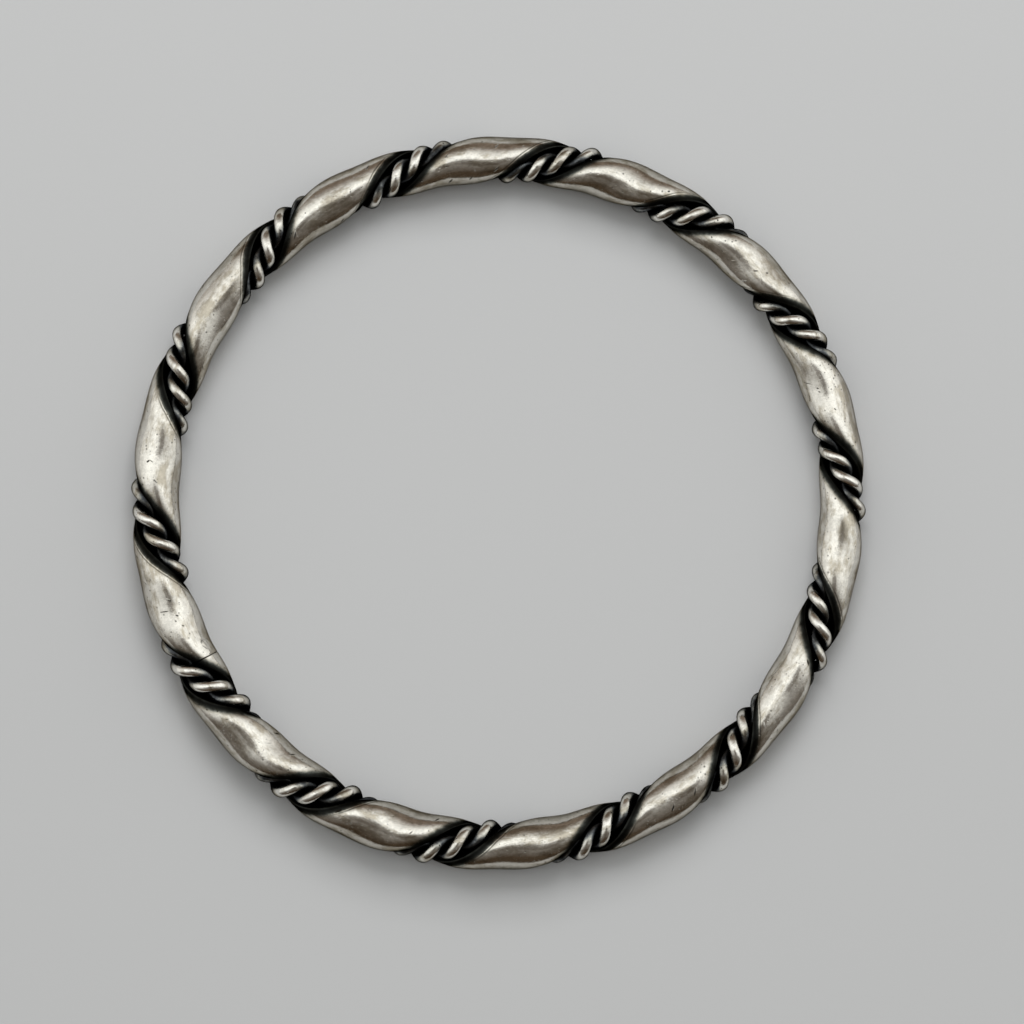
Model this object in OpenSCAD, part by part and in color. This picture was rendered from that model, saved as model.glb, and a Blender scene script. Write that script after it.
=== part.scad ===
// Closed bangle of three twisted silver strands: one thick half-round strand with a
// shallow groove along its flat side, and a rope of two round wires lying in that
// groove. The twisted bar is bent into a ring, and its ends meet at a soldered seam.
// The ring lies flat in the XY plane, on Z = 0, with the wrist's opening along +Z.

/* [Ring] */
// Diameter of the circle that the axis of the twisted bar follows
ring_d = 70.24; // [60:0.02:80]
// How far the ring is out of round as an oval
oval = 0.08; // [0:0.01:0.3]
// How far the ring is out of round with three lobes
three_lobes = 0.075; // [0:0.005:0.3]
// How much thicker the bar is on one side of the ring than on average, as a fraction
thicker_once = 0.047; // [0:0.001:0.06]
// Its variation in thickness that comes twice in a lap, as a fraction
thicker_twice = 0.018; // [0:0.001:0.03]
// Full turns of the strands about the bar's axis in one lap of the ring
turns = 14; // [10:1:18]
// Clockwise angle from +Y of the first place where the rope lies on top
first_top = 7.9; // [0:0.1:25]
// Unevenness of the hand twist that comes once in a lap, in degrees of turn
twist_wander_once = 12.5; // [0:0.5:15]
// Unevenness of the hand twist that comes twice in a lap, in degrees of turn
twist_wander_twice = 10.5; // [0:0.5:15]

/* [Half-round strand] */
// Width across its widest part
strand_w = 4.8; // [4.6:0.05:5.2]
// How far its widest part lies behind the bar's axis
widest_at = 0.25; // [0:0.05:0.4]
// Height of its domed back over the bar's axis
back_h = 2.36; // [2.2:0.02:2.6]
// Depth of the ellipse that its sides follow, below the widest part
side_depth = 1.98; // [1.8:0.02:2.2]
// How far the sides follow that ellipse
side_reach = 40; // [38:0.5:42]
// Radius of the edges on both sides of the groove
edge_r = 0.2; // [0.14:0.01:0.24]
// How far the floor of the groove lies behind the bar's axis
groove_floor = 0.2; // [0.18:0.01:0.3]

/* [Rope] */
// Diameter of each of the two wires
wire_d = 1.17; // [0.9:0.01:1.18]
// Clear space between the two wires
wire_gap = 0.1; // [0.08:0.01:0.14]
// Distance from the bar's axis to the middle of the rope
rope_offset = 1.29; // [1.28:0.01:1.4]
// Turns of the two wires about each other in one lap, counted against the turning bar
rope_turns = 36.5; // [30.5:1:42.5]
// Lay of the first wire where the rope first comes to the top
first_lay = 112; // [0:1:180]
// Unevenness of the rope's lay that comes once in a lap, in degrees
lay_wander_once = 62; // [0:1:90]
// Unevenness of the rope's lay that comes twice in a lap, in degrees
lay_wander_twice = 12; // [0:1:20]

/* [Seam] */
// Clockwise angle from +Y of the soldered seam, where the ends of the wires meet
seam_at = 242; // [200:1:300]
// Clear space between the ends that meet there
seam_gap = 0.08; // [0.06:0.01:0.2]

/* [Smoothness] */
// Cross-sections of the half-round strand in each turn of the bar
sections_per_turn = 16; // [14:1:16]
// Cross-sections of a wire in one lap of the ring
wire_sections = 360; // [300:2:370]

/* [Hidden] */
ring_r = ring_d / 2;
half_w = strand_w / 2;
wire_r = wire_d / 2;
// Distance from the middle of the rope to the middle of each wire
wire_orbit = (wire_d + wire_gap) / 2;
strand_sections = turns * sections_per_turn;
wire_sides = 6;
back_steps = 6;
side_steps = 1;
edge_steps = 2;
groove_steps = 4;
// Clockwise angles at which each unevenness is at its height
oval_at = 61;
three_lobes_at = 66;
thicker_once_at = 220;
thicker_twice_at = 27;
twist_wander_once_at = 0;
twist_wander_twice_at = 148;
lay_wander_once_at = 92;
lay_wander_twice_at = 143;
// Half the step, in degrees of the ring, over which a heading is measured
small_step = 0.02;

function unit(v) = v / norm(v);

// At a clockwise angle c of the ring: the direction away from the ring's centre,
// and how far the bar has turned, 0 with the rope on top and 90 with it outside
function outward(c) = [sin(c), cos(c), 0];
function turn_at(c) =
    turns * (c - first_top)
    - twist_wander_once * cos(c - twist_wander_once_at)
    - twist_wander_twice * cos(2 * (c - twist_wander_twice_at));

// Directions from the bar's axis towards the rope, and across it
function to_rope(c) = let (t = turn_at(c)) sin(t) * outward(c) + [0, 0, cos(t)];
function across(c) = let (t = turn_at(c)) cos(t) * outward(c) - [0, 0, sin(t)];

// Size of the bar's section against its average size
function thickness(c) =
    1 + thicker_once * cos(c - thicker_once_at) + thicker_twice * cos(2 * (c - thicker_twice_at));

// The axis of the bar, on a ring that is slightly out of round; it lies higher where
// the bar is thicker, so that the bangle rests on a flat surface all the way round
function bar_axis(c) = let (
    radius = ring_r + oval * cos(2 * (c - oval_at)) + three_lobes * cos(3 * (c - three_lobes_at)))
    radius * outward(c) + [0, 0, half_w * (thickness(c) - 1)];

function arc_points(centre, r, from, to, steps) =
    [for (i = [0:steps - 1]) let (a = from + (to - from) * i / steps)
        centre + r * [cos(a), sin(a)]];

// Outline of the half-round strand, each point as its distance behind the bar's axis
// and its distance across: the domed back, a side, an edge, the groove, and back again
function back_points() =
    [for (i = [0:back_steps - 1]) let (a = 180 * i / back_steps - 90)
        [widest_at + (back_h - widest_at) * cos(a), half_w * sin(a)]];
function side_point(a) = [widest_at - side_depth * sin(a), half_w * cos(a)];
function mirrored(points) =
    [for (i = [len(points) - 1:-1:0]) [points[i][0], -points[i][1]]];

function half_round_outline() = let (
    side_end = side_point(side_reach),
    facing = atan2(cos(side_reach) / half_w, -sin(side_reach) / side_depth),
    edge = side_end - edge_r * [cos(facing), sin(facing)],
    rise = edge[0] - groove_floor,
    groove_r = (rise * rise + edge[1] * edge[1] - edge_r * edge_r) / (2 * (edge_r - rise)),
    groove = [groove_floor - groove_r, 0],
    lean = atan2(edge[1], edge[0] - groove[0]),
    side = [for (i = [0:side_steps - 1]) side_point(side_reach * i / side_steps)],
    edge_points = arc_points(edge, edge_r, facing, 180 + lean, edge_steps),
    half_groove = arc_points(groove, groove_r, lean, 0, groove_steps / 2),
    far_half = mirrored(concat(side, edge_points, half_groove)))
    concat(back_points(), side, edge_points, half_groove, [[groove_floor, 0]],
        [for (i = [0:len(far_half) - 2]) far_half[i]]);

function strand_ring(c, outline) =
    [for (p = thickness(c) * outline) bar_axis(c) - p[0] * to_rope(c) + p[1] * across(c)];

function strand_rings() = let (outline = half_round_outline())
    [for (j = [0:strand_sections - 1]) each strand_ring(360 * j / strand_sections, outline)];

// The middle of the rope, and the middle of one wire, where half_turn is 0 or 180
function rope_middle(c) = bar_axis(c) + thickness(c) * rope_offset * to_rope(c);
function rope_heading(c) = unit(rope_middle(c + small_step) - rope_middle(c - small_step));
function lay_at(c) =
    rope_turns / turns * turn_at(c) + first_lay
    + lay_wander_once * cos(c - lay_wander_once_at)
    + lay_wander_twice * cos(2 * (c - lay_wander_twice_at));
function wire_middle(c, half_turn) = let (
    lay = lay_at(c) + half_turn,
    side = unit(cross(to_rope(c), rope_heading(c))))
    rope_middle(c) + thickness(c) * wire_orbit * (cos(lay) * to_rope(c) + sin(lay) * side);

// One cross-section of a wire, square to its heading, with a flat towards the other wire
function wire_ring(c, half_turn) = let (
    middle = wire_middle(c, half_turn),
    heading = unit(wire_middle(c + small_step, half_turn) - wire_middle(c - small_step, half_turn)),
    away = middle - rope_middle(c),
    out = unit(away - heading * (away * heading)),
    side = cross(heading, out))
    [for (i = [0:wire_sides - 1]) let (a = 360 * (i + 0.5) / wire_sides)
        middle + thickness(c) * wire_r * (cos(a) * out + sin(a) * side)];

function wire_rings(half_turn) = let (
    margin = seam_gap / ring_d * 180 / PI,
    span = 360 - 2 * margin)
    [for (j = [0:wire_sections - 1])
        each wire_ring(seam_at + margin + span * j / (wire_sections - 1), half_turn)];

// Faces of a skin over rows of points; when closed, the last row meets the first
function skin_faces(rows, sides, closed) =
    [for (j = [0:rows - (closed ? 1 : 2)], i = [0:sides - 1]) let (
        near = j * sides,
        far = (j + 1) % rows * sides,
        next = (i + 1) % sides)
        each [[near + i, far + next, near + next], [near + i, far + i, far + next]]];

function end_faces(rows, sides) =
    [[for (i = [0:sides - 1]) i], [for (i = [sides - 1:-1:0]) (rows - 1) * sides + i]];

// Height of the bar's axis over the surface that the bangle's lowest point rests on
axis_h = -min([for (p = concat(strand_rings(), wire_rings(0), wire_rings(180))) p[2]]);

module half_round_strand() {
    sides = len(half_round_outline());
    color("silver")
    translate([0, 0, axis_h])
    polyhedron(strand_rings(), skin_faces(strand_sections, sides, true));
}

module rope_wire(half_turn) {
    translate([0, 0, axis_h])
    polyhedron(wire_rings(half_turn), concat(
        skin_faces(wire_sections, wire_sides, false),
        end_faces(wire_sections, wire_sides)));
}

module rope_wire_a() {
    color("gainsboro") rope_wire(0);
}

module rope_wire_b() {
    color("darkgray") rope_wire(180);
}

half_round_strand();
rope_wire_a();
rope_wire_b();
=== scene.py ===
# %% [markdown]
# # A twisted silver bangle with dark patina
#
# This lesson dresses a plain CAD model of a bangle so that it looks like the real thing. The
# real one is made of three strands: one thick half-round wire, and two fine round wires that
# were twisted into a rope first. The rope was laid along the flat side of the thick wire, and
# all of it was twisted together, bent into a ring and soldered shut.
#
# The CAD model comes in as a fixed frame in metres. Sizes below are named in millimetres, and
# become metres where a mesh or a pattern is made.

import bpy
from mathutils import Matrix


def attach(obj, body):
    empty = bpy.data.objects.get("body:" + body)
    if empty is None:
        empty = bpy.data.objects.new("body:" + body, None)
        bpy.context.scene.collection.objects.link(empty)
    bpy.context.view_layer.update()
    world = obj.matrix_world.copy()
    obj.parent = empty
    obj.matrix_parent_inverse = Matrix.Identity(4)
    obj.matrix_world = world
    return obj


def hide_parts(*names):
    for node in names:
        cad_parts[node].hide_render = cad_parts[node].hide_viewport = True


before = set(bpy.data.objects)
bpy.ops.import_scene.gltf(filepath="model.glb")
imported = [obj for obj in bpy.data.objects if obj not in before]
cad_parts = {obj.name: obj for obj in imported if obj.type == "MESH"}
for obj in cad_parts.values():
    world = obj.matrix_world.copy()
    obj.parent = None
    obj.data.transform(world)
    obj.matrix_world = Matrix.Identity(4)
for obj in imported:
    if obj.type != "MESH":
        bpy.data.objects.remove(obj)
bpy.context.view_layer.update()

# %% Tools and units
import math

import bpy
import numpy as np
from mathutils import Vector, noise

MM = 0.001
scene = bpy.context.scene


def sind(degrees):
    return np.sin(np.radians(degrees))


def cosd(degrees):
    return np.cos(np.radians(degrees))


def rise(values, low, high):
    """0 below low, 1 above high, and a smooth step between them."""
    t = np.clip((values - low) / (high - low), 0.0, 1.0)
    return t * t * (3 - 2 * t)


def unit(vectors):
    return vectors / np.linalg.norm(vectors, axis=-1, keepdims=True)


print("tools ready")

# %% [markdown]
# ## The camera
#
# The photograph looks straight down on the bangle. How the spiral shifts from one side of the
# ring to the other shows that it was taken from about 60 cm away, so the lens is a long one.
# An orthographic camera would be simpler, but it would lose that shift.

# %% Camera straight above
PHOTO_PX = 1024
RING_CENTRE_PX = (498.76, 501.70)
RING_RADIUS_PX = 343.2
RING_RADIUS_MM = 35.12
BAR_HEIGHT_MM = 2.6
CAMERA_ABOVE_MM = 595.0

mm_per_px = RING_RADIUS_MM / RING_RADIUS_PX
frame_width_mm = PHOTO_PX * mm_per_px
camera_data = bpy.data.cameras.new("overhead_camera")
camera_data.sensor_width = 36.0
camera_data.lens = camera_data.sensor_width * CAMERA_ABOVE_MM / frame_width_mm
camera_data.dof.use_dof = False
camera = bpy.data.objects.new("overhead_camera", camera_data)
scene.collection.objects.link(camera)
camera.location = (
    (PHOTO_PX / 2 - RING_CENTRE_PX[0]) * mm_per_px * MM,
    -(PHOTO_PX / 2 - RING_CENTRE_PX[1]) * mm_per_px * MM,
    (BAR_HEIGHT_MM + CAMERA_ABOVE_MM) * MM,
)
scene.camera = camera
print("lens", round(camera_data.lens, 1), "mm, frame", round(frame_width_mm, 1), "mm wide")

# %% [markdown]
# ## The path of the twisted bar
#
# A hand-twisted bar is never even. Its ring is a little out of round, it is thicker on one
# side, and the twist runs faster in some places. Each of those is one or two cosines round the
# ring, with the same values as the CAD source, so the detailed strands lie exactly where the
# solids are. Clockwise angles are counted in degrees from +Y, seen from above.

# %% Ring, thickness and twist
# An angle that ends in AT is where its unevenness is at its height
OVAL_MM = 0.08
OVAL_AT = 61
THREE_LOBES_MM = 0.075
THREE_LOBES_AT = 66
TURNS = 14
FIRST_TOP = 7.9
TWIST_WANDER_ONCE = 12.5
TWIST_WANDER_TWICE = 10.5
TWIST_WANDER_TWICE_AT = 148
THICKER_ONCE = 0.047
THICKER_ONCE_AT = 220
THICKER_TWICE = 0.018
THICKER_TWICE_AT = 27
STRAND_W_MM = 4.8
HALF_W_MM = STRAND_W_MM / 2
UP = np.array([0.0, 0.0, 1.0])


def outward(c):
    return np.stack([sind(c), cosd(c), 0 * c], axis=-1)


def turn_at(c):
    return (TURNS * (c - FIRST_TOP) - TWIST_WANDER_ONCE * cosd(c)
            - TWIST_WANDER_TWICE * cosd(2 * (c - TWIST_WANDER_TWICE_AT)))


def thickness(c):
    return (1 + THICKER_ONCE * cosd(c - THICKER_ONCE_AT)
            + THICKER_TWICE * cosd(2 * (c - THICKER_TWICE_AT)))


def to_rope(c):
    t = turn_at(c)[..., None]
    return sind(t) * outward(c) + cosd(t) * UP


def across(c):
    t = turn_at(c)[..., None]
    return cosd(t) * outward(c) - sind(t) * UP


def bar_axis(c):
    radius = (RING_RADIUS_MM + OVAL_MM * cosd(2 * (c - OVAL_AT))
              + THREE_LOBES_MM * cosd(3 * (c - THREE_LOBES_AT)))
    lift = HALF_W_MM * (thickness(c) - 1)
    return radius[..., None] * outward(c) + lift[..., None] * UP


lap = np.linspace(0, 360, 721)
print("bar radius from", round(float(np.min(np.linalg.norm(bar_axis(lap), axis=1))), 2), "mm")

# %% [markdown]
# ## The half-round strand
#
# Its section is drawn once and swept along the ring, turning as it goes. A screw modifier
# couldn't follow the uneven twist, so the rings of points are computed directly. The section
# is a domed back, two drawn-in sides, a rounded edge on each side, and the groove between
# them where the rope lies.

# %% Section of the half-round strand
WIDEST_AT_MM = 0.25
BACK_H_MM = 2.36
SIDE_DEPTH_MM = 1.98
SIDE_REACH = 40
EDGE_R_MM = 0.2
GROOVE_FLOOR_MM = 0.2


def half_round_section(back=34, side=8, edge=6, groove=5):
    """Points (behind the axis, across) in mm, and the crest of one lip of the groove."""
    a = np.linspace(-90, 90, back + 1)[:-1]
    dome = np.stack([WIDEST_AT_MM + (BACK_H_MM - WIDEST_AT_MM) * cosd(a),
                     HALF_W_MM * sind(a)], axis=1)
    u = np.linspace(0, SIDE_REACH, side + 1)[:-1]
    flank = np.stack([WIDEST_AT_MM - SIDE_DEPTH_MM * sind(u), HALF_W_MM * cosd(u)], axis=1)
    end = np.array([WIDEST_AT_MM - SIDE_DEPTH_MM * sind(SIDE_REACH),
                    HALF_W_MM * cosd(SIDE_REACH)])
    facing = math.degrees(math.atan2(cosd(SIDE_REACH) / HALF_W_MM,
                                     -sind(SIDE_REACH) / SIDE_DEPTH_MM))
    centre = end - EDGE_R_MM * np.array([cosd(facing), sind(facing)])
    drop = centre[0] - GROOVE_FLOOR_MM
    groove_r = (drop ** 2 + centre[1] ** 2 - EDGE_R_MM ** 2) / (2 * (EDGE_R_MM - drop))
    hub = np.array([GROOVE_FLOOR_MM - groove_r, 0.0])
    lean = math.degrees(math.atan2(centre[1], centre[0] - hub[0]))
    e = np.linspace(facing, 180 + lean, edge + 1)[:-1]
    lip = centre + EDGE_R_MM * np.stack([cosd(e), sind(e)], axis=1)
    g = np.linspace(lean, 0, groove + 1)[:-1]
    trough = hub + groove_r * np.stack([cosd(g), sind(g)], axis=1)
    half = np.concatenate([flank, lip, trough])
    far_half = half[::-1] * [1, -1]
    points = np.concatenate([dome, half, [[GROOVE_FLOOR_MM, 0.0]], far_half[:-1]])
    crest = centre + EDGE_R_MM * np.array([-1.0, 0.0])
    # The first point is moved into the groove, where the edge of the UV map stays out of sight
    points = np.roll(points, len(far_half), axis=0)
    return points, crest


section, lip_crest = half_round_section()
print(len(section), "points round the section; lip at", np.round(lip_crest, 2))

# %% [markdown]
# ## Sweeping the section
#
# Each ring of points is the section scaled by the bar's thickness there and turned with the
# twist. The rings stand closer at the soldered seam, where the metal has a fine hairline.
# A twisted and bent wire is never quite smooth, so the skin gets long shallow waves of one or
# two hundredths of a millimetre. They are what breaks up the long reflections.

# %% Where the rings of the strand stand
SEAM_AT = 242.0
STRAND_RINGS = 1340
# The close rings reach this many degrees on both sides of the seam, and the even ones stop here
SEAM_RINGS = 19
SEAM_SPAN = 0.36
CLEAR_OF_SEAM = 0.4

plain_rings = np.arange(STRAND_RINGS) * 360 / STRAND_RINGS
seam_rings = SEAM_AT + np.linspace(-SEAM_SPAN, SEAM_SPAN, SEAM_RINGS)
plain_rings = plain_rings[np.abs(plain_rings - SEAM_AT) > CLEAR_OF_SEAM]
ring_angles = np.sort(np.concatenate([plain_rings, seam_rings]))
# They start at the seam, so that the other edge of the UV map lies in its hairline
at_seam = np.searchsorted(ring_angles, SEAM_AT - 0.001)
ring_angles = np.concatenate([ring_angles[at_seam:], ring_angles[:at_seam] + 360])
print(len(ring_angles), "rings of", len(section), "points")

# %% Skins over rows of points
def skin(name, rows, closed_rows):
    """A mesh over rows of points, each row a closed ring. Returns the object."""
    count, sides = rows.shape[:2]
    row, i = np.meshgrid(np.arange(count if closed_rows else count - 1), np.arange(sides),
                         indexing="ij")
    after = (row + 1) % count
    following = (i + 1) % sides
    quads = np.stack([row * sides + i, after * sides + i,
                      after * sides + following, row * sides + following], axis=-1)
    mesh = bpy.data.meshes.new(name)
    mesh.from_pydata((rows.reshape(-1, 3) * MM).tolist(), [], quads.reshape(-1, 4).tolist())
    mesh.update()
    mesh.shade_smooth()
    piece = bpy.data.objects.new(name, mesh)
    scene.collection.objects.link(piece)
    return piece


def keep(piece, name, values):
    """Stores one number at each point of a piece, for its material to read."""
    layer = piece.data.attributes.new(name, "FLOAT", "POINT")
    layer.data.foreach_set("value", np.asarray(values, np.float32).ravel())


def unroll(piece, along, around, closed_rows):
    """A UV map in millimetres: along the strand, and around its section."""
    count, sides = along.shape
    u_next = np.roll(along, -1, axis=0).copy()
    if closed_rows:
        u_next[-1] = along[-1] + (along[-1] - along[-2])
    v_next = np.roll(around, -1, axis=1).copy()
    v_next[:, -1] = around[:, -1] + (around[:, -1] - around[:, -2])
    rows = count if closed_rows else count - 1
    u = np.stack([along, u_next, u_next, along], axis=-1)[:rows]
    v = np.stack([around, around, v_next, v_next], axis=-1)[:rows]
    layer = piece.data.uv_layers.new(name="strand_mm")
    layer.data.foreach_set("uv", np.stack([u, v], axis=-1).astype(np.float32).ravel())


def ripples(points, size_mm, seed):
    """Smooth noise from -1 to 1 at each point, whose waves are about size_mm long."""
    shift = Vector((17.3 * seed, -5.1 * seed, 9.7 * seed))
    flat = points.reshape(-1, 3) / size_mm
    values = [noise.noise(Vector(p) + shift) for p in flat.tolist()]
    return np.array(values).reshape(points.shape[:-1])


print("skin tools ready")

# %% The rows of the half-round strand
WAVES = (
    # height in mm, length in mm, seed
    (0.016, 3.4, 1),
    (0.0095, 1.3, 2),
)
# The waves fade out between these distances behind the bar's axis, so the groove stays smooth
WAVES_END_MM = -0.9
WAVES_FULL_MM = -0.3

axis = bar_axis(ring_angles)
rope_way = to_rope(ring_angles)
cross_way = across(ring_angles)
scaled = thickness(ring_angles)[:, None, None] * section[None]
strand_rows = (axis[:, None] - scaled[..., :1] * rope_way[:, None]
               + scaled[..., 1:] * cross_way[:, None])
closing = np.roll(section, -1, axis=0) - np.roll(section, 1, axis=0)
section_normal = unit(np.stack([closing[:, 1], -closing[:, 0]], axis=1))
if np.sum(section_normal * section) < 0:
    section_normal = -section_normal
strand_normals = (-section_normal[None, :, :1] * rope_way[:, None]
                  + section_normal[None, :, 1:] * cross_way[:, None])

waves = sum(height * ripples(strand_rows, length, seed) for height, length, seed in WAVES)
on_back = rise(section[:, 0], WAVES_END_MM, WAVES_FULL_MM)
strand_rows = strand_rows + (waves * on_back[None])[..., None] * strand_normals
print("waves up to", round(float(np.abs(waves).max()), 3), "mm high")

# %% The hairline at the seam
SEAM_HALF_W_MM = 0.045
SEAM_DEPTH_MM = 0.05

from_seam = (ring_angles - SEAM_AT + 180) % 360 - 180
seam_mm = from_seam * math.pi / 180 * RING_RADIUS_MM
seam_dip = np.exp(-(seam_mm / SEAM_HALF_W_MM) ** 2)
sunk_mm = SEAM_DEPTH_MM * seam_dip[:, None] * on_back[None]
strand_rows = strand_rows - sunk_mm[..., None] * strand_normals
print("strand reaches", round(float(strand_rows[..., 2].min()), 3), "mm below the ring's plane")

# %% [markdown]
# ## The rope of two wires
#
# The two round wires wind about each other and ride in the groove. A curve with a bevel would
# sweep them too, but then the material couldn't know which side of a wire is worn. So each
# wire is swept point by point, with the first point of each ring facing away from the other wire.

# %% Paths of the wires
WIRE_D_MM = 1.17
WIRE_GAP_MM = 0.1
ROPE_OFFSET_MM = 1.29
ROPE_TURNS = 36.5
FIRST_LAY = 112
LAY_WANDER_ONCE = 62
LAY_WANDER_ONCE_AT = 92
LAY_WANDER_TWICE = 12
LAY_WANDER_TWICE_AT = 143
WIRE_RINGS = 2000
WIRE_SIDES = 24
wire_r = WIRE_D_MM / 2
wire_orbit = (WIRE_D_MM + WIRE_GAP_MM) / 2
# Degrees of the ring over which a heading is measured, on both sides of a point
NUDGE = 0.02


def rope_middle(c):
    return bar_axis(c) + (thickness(c) * ROPE_OFFSET_MM)[..., None] * to_rope(c)


def lay_at(c):
    return (ROPE_TURNS / TURNS * turn_at(c) + FIRST_LAY
            + LAY_WANDER_ONCE * cosd(c - LAY_WANDER_ONCE_AT)
            + LAY_WANDER_TWICE * cosd(2 * (c - LAY_WANDER_TWICE_AT)))


def wire_middle(c, half_turn):
    lay = (lay_at(c) + half_turn)[..., None]
    heading = unit(rope_middle(c + NUDGE) - rope_middle(c - NUDGE))
    side = unit(np.cross(to_rope(c), heading))
    orbit = (thickness(c) * wire_orbit)[..., None]
    return rope_middle(c) + orbit * (cosd(lay) * to_rope(c) + sind(lay) * side)


print("rope lays round", ROPE_TURNS, "times in a lap")

# %% The rows of the wires
WIRE_WAVE_HEIGHT_MM = 0.010
WIRE_WAVE_LENGTH_MM = 1.3
WIRE_WAVE_SEED = 3

wire_angles = np.linspace(SEAM_AT, SEAM_AT + 360, WIRE_RINGS)


def wire_rows(half_turn):
    """Rows of points on one wire, and numbers at each point that its wear depends on."""
    c = wire_angles
    middle = wire_middle(c, half_turn)
    heading = unit(wire_middle(c + NUDGE, half_turn) - wire_middle(c - NUDGE, half_turn))
    away = middle - rope_middle(c)
    out = unit(away - heading * np.sum(away * heading, axis=1, keepdims=True))
    side = np.cross(heading, out)
    a = np.arange(WIRE_SIDES) * 360 / WIRE_SIDES
    spoke = cosd(a)[None, :, None] * out[:, None] + sind(a)[None, :, None] * side[:, None]
    rows = middle[:, None] + (thickness(c) * wire_r)[:, None, None] * spoke
    from_bar = rows - bar_axis(c)[:, None]
    facts = {
        "from_axis": np.linalg.norm(from_bar, axis=2) / thickness(c)[:, None],
        "crest": np.repeat(cosd(a)[None], WIRE_RINGS, 0),
        "level": np.abs(spoke[..., 2]),
    }
    waves_mm = WIRE_WAVE_HEIGHT_MM * ripples(rows, WIRE_WAVE_LENGTH_MM, WIRE_WAVE_SEED)
    rows = rows + waves_mm[..., None] * spoke
    run = np.concatenate([[0], np.cumsum(np.linalg.norm(np.diff(middle, axis=0), axis=1))])
    along = np.repeat(run[:, None], WIRE_SIDES, 1)
    around = np.repeat((np.radians(a) * wire_r)[None], WIRE_RINGS, 0)
    return rows, along, around, facts


rows_a = wire_rows(0)
rows_b = wire_rows(180)
lowest = min(float(rows[..., 2].min()) for rows in (strand_rows, rows_a[0], rows_b[0]))
lift = np.array([0.0, 0.0, -lowest])
print("the ring's plane is", round(-lowest, 3), "mm above the floor")

# %% [markdown]
# ## Where the metal is polished
#
# The real bangle was dipped until it went black, and then a wheel and a cloth cleared all that
# stands proud. So the dome is bright, the valley on both sides of the rope stays black, and the
# wires shine on their crests only. An ambient-occlusion mask could stand in for that, but it is
# noisy and can't tell a rubbed crest from one that no cloth reached. So each point stores its own
# polish, worked out from the shape: for the strand from its distance to the nearest edge of the
# groove, for a wire from its distance to the axis of the bar. 0 is black and 1 is bright. The same
# number also carries painted shade, which darkens sides that stand upright, and on the wires a
# painted highlight at the left and right of the ring.

# %% Tables of polish
EDGE_TABLE = (
    # mm from the edge, polish
    (0.00, 0.20),
    (0.20, 0.05),
    (0.42, 0.10),
    (0.62, 0.24),
    (0.80, 0.42),
    (0.95, 0.66),
    (1.10, 0.85),
    (1.30, 0.96),
    (1.50, 1.00),
)
AXIS_TABLE = (
    # mm from the axis of the bar, polish
    (1.20, 0.42),
    (1.60, 0.45),
    (1.85, 0.48),
    (1.98, 0.57),
    (2.10, 0.82),
    (2.20, 0.93),
    (2.34, 1.00),
)
edge_mm, edge_polish = np.array(EDGE_TABLE).T
axis_mm, axis_polish = np.array(AXIS_TABLE).T
print("strand bright from", edge_mm[-1], "mm, wires from", axis_mm[-1], "mm")

# %% Polish of the half-round strand
# How much nearer to the groove the polish comes, in mm: everywhere, on one edge more than on the
# other, where the surface faces sideways, and towards the upper left of the ring
NEARER_MM = 0.045
ONE_EDGE_MM = 0.085
SIDEWAYS_MM = 0.16
UPPER_LEFT_MM = 0.05
UPPER_LEFT_AT = 330
# Painted shade: the share of polish kept where the surface stands upright, at the top and bottom
# of the ring, and how much more is kept at its left and right
UPRIGHT_SHARE_IN_PAINTED_SHADE = 0.74
LESS_PAINTED_SHADE_LEFT_RIGHT = 0.22
# Polish on the lip of the groove, its loss for each mm into the groove, and the least
LIP_POLISH = 0.18
LIP_LOSS_PER_MM = 0.5
GROOVE_POLISH = 0.03
# From standing upright to facing up or down, as the height of a unit vector out of the surface,
# for the painted shade
STRAND_FACING_IN_PAINTED_SHADE = (0.3, 0.85)

edge_gap = np.minimum(np.linalg.norm(section - lip_crest, axis=1),
                      np.linalg.norm(section - lip_crest * [1, -1], axis=1))
in_groove = (np.abs(section[:, 1]) < lip_crest[1]) & (section[:, 0] < GROOVE_FLOOR_MM + 0.01)
on_far_side = np.where(section[:, 1] > 0, 1.0, -1.0)
sideways = np.abs(np.sum(strand_normals * outward(ring_angles)[:, None], axis=2))
reach = edge_gap[None] + NEARER_MM - ONE_EDGE_MM * on_far_side[None] + SIDEWAYS_MM * (sideways - 0.5)
reach = reach + UPPER_LEFT_MM * cosd(ring_angles - UPPER_LEFT_AT)[:, None]
# Painted shade: the strand's upright sides are darkened, less so at the left and right of the ring
level = rise(np.abs(strand_normals[..., 2]), *STRAND_FACING_IN_PAINTED_SHADE)
kept_in_painted_shade = (UPRIGHT_SHARE_IN_PAINTED_SHADE + LESS_PAINTED_SHADE_LEFT_RIGHT * sind(ring_angles) ** 2)[:, None]
strand_polish_and_painted_shade = np.interp(reach, edge_mm, edge_polish) * (kept_in_painted_shade + (1 - kept_in_painted_shade) * level)
groove_polish = np.maximum(LIP_POLISH - LIP_LOSS_PER_MM * edge_gap[None], GROOVE_POLISH)
strand_polish_and_painted_shade = np.where(in_groove[None], groove_polish, strand_polish_and_painted_shade)
print("polish of the strand from", round(float(strand_polish_and_painted_shade.min()), 2), "to",
      round(float(strand_polish_and_painted_shade.max()), 2))

# %% The strand as a mesh
# Only one edge has a burr. Elsewhere its distance is set to this, which is past every line of it
NO_BURR_MM = 3.0

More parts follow.
